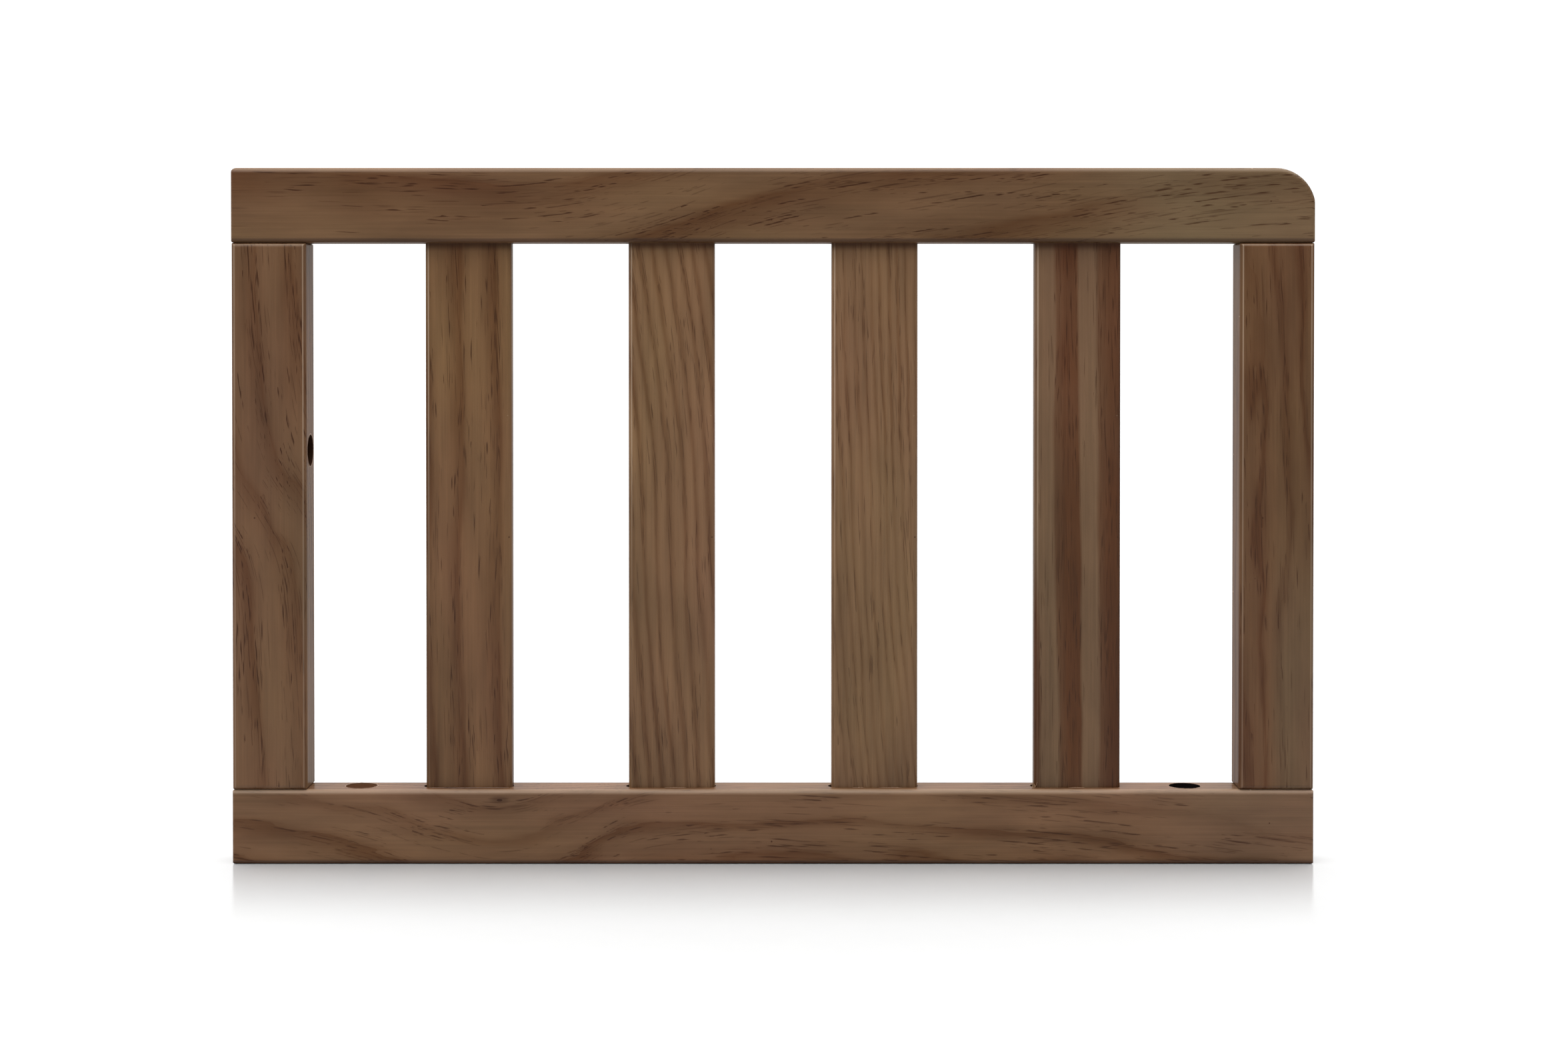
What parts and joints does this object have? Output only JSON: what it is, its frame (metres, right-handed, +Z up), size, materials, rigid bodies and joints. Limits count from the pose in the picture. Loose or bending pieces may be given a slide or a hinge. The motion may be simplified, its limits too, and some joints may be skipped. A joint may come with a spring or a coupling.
{
  "type": "toddler bed guard rail",
  "caption": "Fixed wooden guard rail: flat slats set between a top rail and a bottom rail with an end post at each end, one large rounded corner, and recessed bolt holes.",
  "frame": {"origin": "under the middle of the bottom rail, on the surface that it stands on", "axes": "+X along the rail towards the end with the large round corner, +Y from the front face to the back face, +Z up"},
  "size_m": [0.68, 0.028, 0.438],
  "materials": {
    "stained_pine": "brown stained pine under satin lacquer",
    "bare_beech": "bare turned beech",
    "brad_steel": "bright drawn wire"
  },
  "bodies": {
    "root": {"top_rail": "stained_pine", "bottom_rail": "stained_pine", "left_post": "stained_pine", "right_post": "stained_pine", "slat_1": "stained_pine", "slat_2": "stained_pine", "slat_3": "stained_pine", "slat_4": "stained_pine", "dowel_top_left_outer": "bare_beech", "dowel_top_left_inner": "bare_beech", "dowel_top_right_outer": "bare_beech", "dowel_top_right_inner": "bare_beech", "dowel_bottom_left_outer": "bare_beech", "dowel_bottom_left_inner": "bare_beech", "dowel_bottom_right_outer": "bare_beech", "dowel_bottom_right_inner": "bare_beech", "brad_top_1": "brad_steel", "brad_top_2": "brad_steel", "brad_top_3": "brad_steel", "brad_top_4": "brad_steel", "brad_bottom_1": "brad_steel", "brad_bottom_2": "brad_steel", "brad_bottom_3": "brad_steel", "brad_bottom_4": "brad_steel"}
  },
  "joints": []
}
